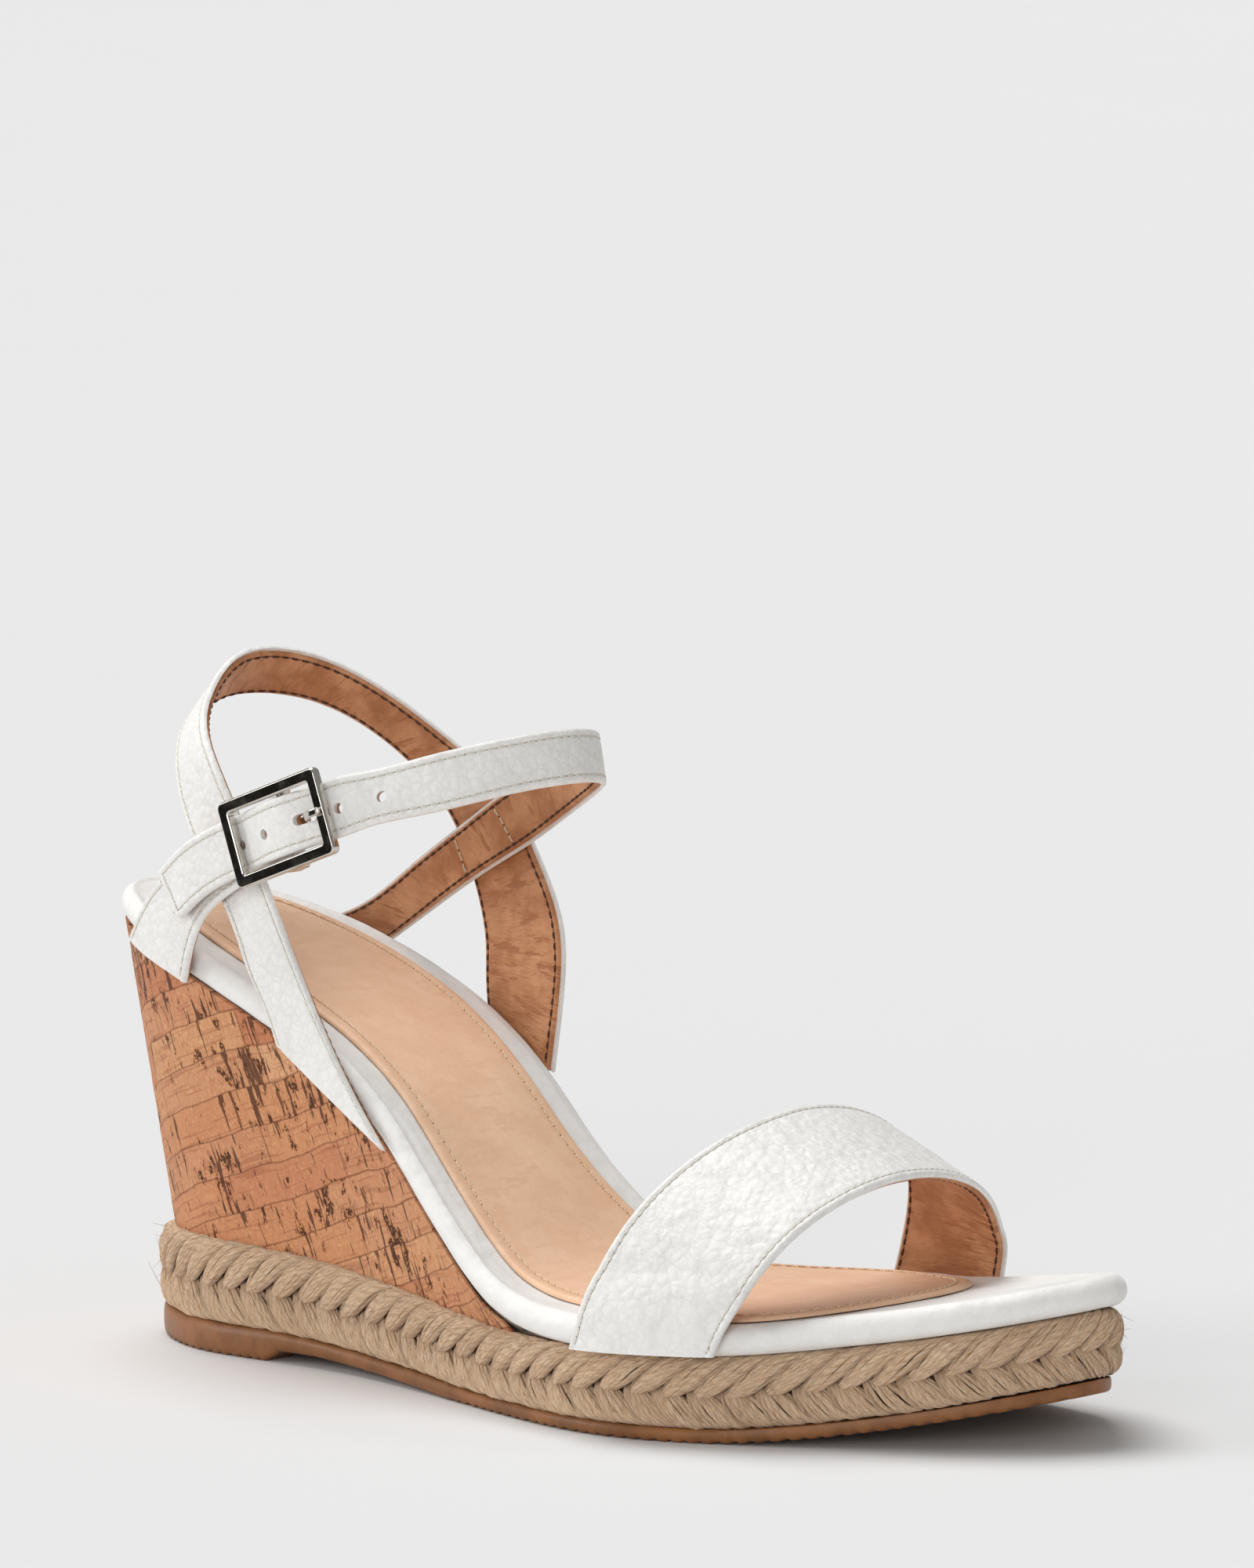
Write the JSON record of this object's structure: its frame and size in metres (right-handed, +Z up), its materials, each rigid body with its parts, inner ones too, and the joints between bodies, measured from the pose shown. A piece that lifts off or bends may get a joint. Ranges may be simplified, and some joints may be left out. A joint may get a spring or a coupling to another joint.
{
  "type": "wedge sandal",
  "caption": "Right-foot wedge sandal: cork-wrapped wedge on a braid-edged platform, open-toe band, slingback and buckled ankle strap.",
  "frame": {"origin": "middle of the footprint (centre of the overall length and width) on the ground", "axes": "+X from the heel towards the toe, +Y towards the inner side of the foot, +Z up; the sandal stands on z = 0"},
  "size_m": [0.2418, 0.0937, 0.1388],
  "materials": {
    "rubber_outsole": "matte moulded brown rubber",
    "core_foam": "foamed core, hidden",
    "jute": "natural jute plait, two rows",
    "cork": "natural cork sheet, satin",
    "white_leather": "white pebbled leather",
    "tan_lining": "tan lining leather",
    "insock_tan": "smooth tan sock leather",
    "fibreboard": "insole fibreboard, hidden",
    "spring_steel": "tempered steel, hidden",
    "nickel": "polished nickel plating"
  },
  "bodies": {
    "sandal": {"outsole": "rubber_outsole", "platform_core": "core_foam", "jute_braid": "jute", "cork_wrap": "cork", "wedge_core": "core_foam", "footbed_cover": "white_leather", "bottom_filler": "core_foam", "shank": "spring_steel", "insole_board": "fibreboard", "footbed_foam": "core_foam", "insock": "insock_tan", "heel_screw": "spring_steel", "heel_nail_outer_rear": "spring_steel", "heel_nail_inner_rear": "spring_steel", "heel_nail_outer_front": "spring_steel", "heel_nail_inner_front": "spring_steel", "toe_band_outer": "white_leather", "toe_band_lining": "tan_lining", "sling_outer": "white_leather", "sling_lining": "tan_lining", "heel_tab_outer": "white_leather", "heel_tab_lining": "tan_lining", "ankle_strap_outer": "white_leather", "ankle_strap_lining": "tan_lining"},
    "buckle": {"buckle_frame": "nickel", "buckle_centre_bar": "nickel"},
    "prong": {"buckle_prong": "nickel"}
  },
  "joints": [
    {"name": "frame_pivot", "type": "hinge", "parent": "sandal", "child": "buckle", "pos_m": [-0.0538, -0.0235, 0.1074], "axis": [0.3354, 0, -0.9421], "range_deg": [-3, 2]},
    {"name": "prong_pivot", "type": "hinge", "parent": "buckle", "child": "prong", "pos_m": [-0.0538, -0.0235, 0.1074], "axis": [0.3354, 0, -0.9421], "range_deg": [0, 6]}
  ]
}
